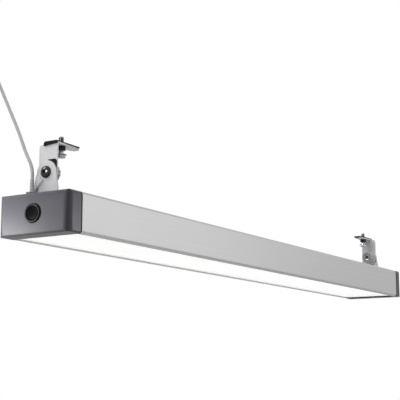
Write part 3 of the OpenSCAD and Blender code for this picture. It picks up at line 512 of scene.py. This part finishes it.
# ---- Hangers and rail pads
# The hangers are plates of the same coated sheet with their tongues bent inwards under
# the rail. A black rubber pad covers each tongue, with a lip over the bend.
for side in ("left", "right"):
    round_edges(finish_piece(f"{side}_hanger", merged(f"hanger_{side}"), grey_coat, "hangers",
                             "grey_coat", f"hanger_{side}", metres=1), 0.45, 3)
round_edges(finish_piece("rubber_rail_pads", merged("rail_pads"), black_rubber, "hangers",
                         "pad_rubber", "rail_pads", metres=1), 0.35, 2)

# ---- Clamp bolts and nuts
# M8 bolts of polished steel with a flanged hexagon head below the tongue. The stud end
# stands above the pad for the rail, and a black nut under the tongue locks it.
half_turn = Matrix.Rotation(pi, 4, "Z")


def on_both(place, *parts):
    """One mesh with the parts on the left bracket and, turned half round, on the right."""
    whole = bmesh.new()
    for turn in (Matrix.Identity(4), half_turn):
        for part in parts:
            join(whole, part, turn @ place)
    return whole


m8_across = 13
root_r, crest_r, pitch, thread_start = 3.45, 4.0, 1.25, -11.6
thread = [(root_r, -12.2), (crest_r, thread_start)]
for turn in range(1, 17):
    thread += [(root_r, turn * pitch + thread_start - 0.62),
               (crest_r, turn * pitch + thread_start)]
bolt = spun([(0, -17.1), (8.6, -17.1), (8.9, -16.9), (8.9, -16.3), (8.5, -15.9), (4, -15.9),
             (3.97, -12.6)] + thread + [(3.5, 9.6), (3.0, 10), (0, 10)])
bolt_place = Matrix.Translation((-568, -5.5, 0))
polished_steel = metal("polished_dark_steel", "a4a6aa", "88898d", 0.16, 0.6, 2)
finish_piece("clamp_bolts_m8", on_both(bolt_place, bolt, hexagon(m8_across, -21.2, -16.5, 1.0)),
             polished_steel, "hangers", "steel_screws", "clamp_bolts")
black_steel = metal("black_oxide_steel", "2c2c2e", "1d1d1f", 0.25, 0.6, 2)
finish_piece("clamp_nuts_m8", on_both(bolt_place, hexagon(m8_across, -10.4, -4, 0.8)),
             black_steel, "hangers", "dark_steel", "clamp_nuts")

# ---- Pivot screws and washers
# Black M8 button-head screws, flanged, with a 5 mm hexagon socket. They pass through
# the ear, a black friction disc, the hanger and a steel washer, and end in the knob.
pivot_z = -45.5
inwards = Matrix.Rotation(pi / 2, 4, "Y")
outwards = Matrix.Rotation(-pi / 2, 4, "Y")
screw = socket_head([(3.1, 5.25), (3.9, 5.04), (5.2, 4.6), (6.4, 4.05), (7.4, 3.48),
                     (8.1, 2.9), (8.4, 2.3), (8.45, 1.5), (8.7, 1.1), (8.87, 0.75), (8.9, 0.4),
                     (8.7, 0), (4, 0), (4, -18), (3.5, -18.5), (4, -19.1), (3.5, -19.7),
                     (3.2, -20.4), (0, -20.4)], 5.0, 2.4)
screw_place = Matrix.Translation((-593.3, 0, pivot_z)) @ outwards
black_screw = moulded("black_lacquered_screw_steel", "0c0c0d", "080809", 0.14, 0.8, 0.005, 6)
finish_piece("pivot_screws_m8", on_both(screw_place, screw), black_screw, "hangers",
             "dark_steel", "pivot_screws")
round_edges(finish_piece("friction_discs", merged("friction_washers"), black_rubber, "hangers",
                         "friction_black", "friction_washers", metres=1), 0.2, 2)
washer = spun([(4.06, 0), (8.8, 0), (9, 0.2), (9, 1.4), (8.8, 1.6), (4.3, 1.6), (4.06, 1.4),
               (4.06, 0)])
washer_place = Matrix.Translation((-587.1, 0, pivot_z)) @ inwards
finish_piece("knob_washers_m8", on_both(washer_place, washer), plated_screw, "hangers",
             "steel_screws", "knob_washers")


# ---- Clamp knobs
# Fluted grey nylon knobs, 26 mm across, moulded round an M8 hexagon nut. Turning one
# clamps or frees its side of the tilt.
def grip_radius(angle):
    """Reach of the knob's rim in millimetres: a circle with round flutes cut into it."""
    outer, deep, flute, count = 13, 1, 2.2, 12
    off = (angle + pi / count) % (2 * pi / count) - pi / count
    centre = outer + flute - deep
    inside = flute ** 2 - (centre * sin(off)) ** 2
    return outer if inside <= 0 else min(outer, centre * cos(off) - sqrt(inside))


knob_h = 11
knob = bmesh.new()
rim = bmesh.ops.create_circle(knob, cap_ends=True, segments=192, radius=1)["verts"]
for vert in rim:
    reach = grip_radius(vert.co.to_2d().angle_signed((1, 0)) % (2 * pi))
    vert.co = (vert.co.x * reach, vert.co.y * reach, 0)
face = knob.faces[:][0]
bmesh.ops.scale(knob, vec=(0.86, 0.86, 1), verts=rim)
bmesh.ops.translate(knob, vec=(0, 0, 1.2), verts=knob.verts)
# each step of the knob's height: its rise in millimetres, and how much wider it ends
steps = [(0.9, 1.07), (0.5, 1.05), (0.4, 1.035), (5.6, 1.0), (0.5, 0.985), (0.5, 0.965),
         (0.4, 0.93)]
for rise, grow in steps:
    out = bmesh.ops.extrude_face_region(knob, geom=[face])["geom"]
    bmesh.ops.delete(knob, geom=[face], context="FACES_ONLY")
    face = next(g for g in out if isinstance(g, bmesh.types.BMFace))
    bmesh.ops.scale(knob, vec=(grow, grow, 1), verts=face.verts)
    bmesh.ops.translate(knob, vec=(0, 0, rise), verts=face.verts)
bmesh.ops.translate(knob, vec=(0, 0, knob_h - max(v.co.z for v in knob.verts)),
                    verts=face.verts)
# the top is let in 0.5 mm inside the rim
bmesh.ops.inset_individual(knob, faces=[face], thickness=2.6, depth=0)
bmesh.ops.inset_individual(knob, faces=[face], thickness=0.3, depth=0)
bmesh.ops.translate(knob, vec=(0, 0, -0.5), verts=face.verts)
join(knob, spun([(0, 0), (8.7, 0), (9, 0.3), (9, 1.6), (0, 1.6)]), Matrix.Identity(4))
insert = hexagon(m8_across, 5, knob_h, 0.5, 4)
knob_plastic = moulded("grey_glass_filled_nylon", "b0afb4", "a6a5aa", 0.42, 0.9, 0.03, 12,
                       Specular_IOR_Level=0.35)
knob_place = Matrix.Translation((-585.4, 0, pivot_z)) @ inwards
for side, turn in (("left", Matrix.Identity(4)), ("right", half_turn)):
    one_knob, one_nut = bmesh.new(), bmesh.new()
    join(one_knob, knob, turn @ knob_place)
    join(one_nut, insert, turn @ knob_place)
    finish_piece(f"{side}_fluted_knob", one_knob, knob_plastic, f"{side}_knob",
                 "black_plastic", f"{side}_knob")
    finish_piece(f"{side}_knob_insert", one_nut, plated_screw, f"{side}_knob",
                 "steel_screws", f"{side}_knob_nut")

# ---- Floor, backdrop and lamps
# A pale matt floor below the light under a broad overhead soft box. Two smaller soft boxes
# fill in from behind at the button end and from the front at the far end. Spots on the
# bracket, screws and cap give the photo's glints, and camera and metal see a white sky.
floor_mesh = bmesh.new()
bmesh.ops.create_circle(floor_mesh, cap_ends=True, segments=96, radius=3)
bmesh.ops.translate(floor_mesh, vec=(0, 0, -0.95), verts=floor_mesh.verts)
floor_data = bpy.data.meshes.new("studio_floor")
floor_mesh.to_mesh(floor_data)
floor_mesh.free()
floor_paint, tree, shader, place = start_material("matt_pale_floor", Roughness=0.9)
connect(tree, shader, Base_Color=tone(tree, noise(tree, place, 3.0, 3), "f2f2f2", "eeeeee"))
floor_data.materials.append(floor_paint)
floor = bpy.data.objects.new("studio_floor", floor_data)
scene.collection.objects.link(floor)


def set_up_lamp(name, kind, place, aim, watts):
    """A lamp at a place, turned to face a point and out of the camera's sight."""
    lamp = bpy.data.lights.new(name, kind)
    lamp.energy = watts
    stand = bpy.data.objects.new(name, lamp)
    stand.visible_camera = False
    stand.location = place
    stand.rotation_euler = (Vector(aim) - Vector(place)).to_track_quat("-Z", "Y").to_euler()
    scene.collection.objects.link(stand)
    return stand


def soft_lamp(name, place, aim, size, watts):
    """A square soft box."""
    stand = set_up_lamp(name, "AREA", place, aim, watts)
    stand.data.shape = "SQUARE"
    stand.data.size = size
    return stand


def spot_lamp(name, place, aim, radius, watts, cone, lit):
    """A soft spot, its cone in degrees, flagged off all but the pieces that it lights."""
    stand = set_up_lamp(name, "SPOT", place, aim, watts)
    stand.data.shadow_soft_size = radius
    stand.data.spot_size = radians(cone)
    stand.data.spot_blend = 0.6
    pieces = bpy.data.collections.new(f"lit_by_{name}")
    for piece in lit:
        pieces.objects.link(bpy.data.objects[piece])
    stand.light_linking.receiver_collection = pieces


overhead = soft_lamp("overhead", (0, 0, 2.4), (0, 0, 0), 4, 125)
overhead.visible_glossy = False  # metal seen from above mirrors the sky, not the soft box
soft_lamp("left_back", (-1.4, 1.0, 1.0), (-0.6, 0, -0.1), 0.7, 10)
soft_lamp("right_front", (0.45, -1.0, 0.15), (0.0, -0.06, -0.1), 1.2, 3.5)
spot_place, bracket = (-1.665, 0.11, 0.175), (-0.59, 0, -0.04)
spot_lamp("bracket_spot", spot_place, bracket, 0.1, 14, 20,
          ["left_foot", "left_hanger", "left_fluted_knob", "mains_cord", "cord_sleeve"])
spot_lamp("screw_spot", spot_place, bracket, 0.24, 60, 90,
          ["pivot_screws_m8", "clamp_bolts_m8"])
spot_lamp("cap_spot", (-0.79, 0.20, -0.125), (-0.62, 0.03, -0.125), 0.02, 5.2, 60,
          ["left_end_cap", "button_ring"])
spot_lamp("side_spot", (-0.30, -0.35, -0.105), (-0.61, -0.064, -0.105), 0.05, 3.4, 40,
          ["left_end_cap"])

world = bpy.data.worlds.new("studio_sky")
scene.world = world
world.use_nodes = True
tree = world.node_tree
tree.nodes.clear()
ray = add_node(tree, "ShaderNodeLightPath", {})
seen = ray.outputs["Is Camera Ray"]
for kind in ("Is Glossy Ray", "Is Transmission Ray"):
    seen = add_node(tree, "ShaderNodeMath", {0: seen, 1: ray.outputs[kind]},
                    operation="MAXIMUM").outputs[0]
lit, white = [add_node(tree, "ShaderNodeBackground", {"Color": (1, 1, 1, 1), "Strength": level})
              for level in (0.15, 1.0)]
sky = add_node(tree, "ShaderNodeMixShader", {0: seen, 1: lit.outputs[0], 2: white.outputs[0]})
add_node(tree, "ShaderNodeOutputWorld", {"Surface": sky.outputs[0]})
scene.view_settings.view_transform = "Standard"
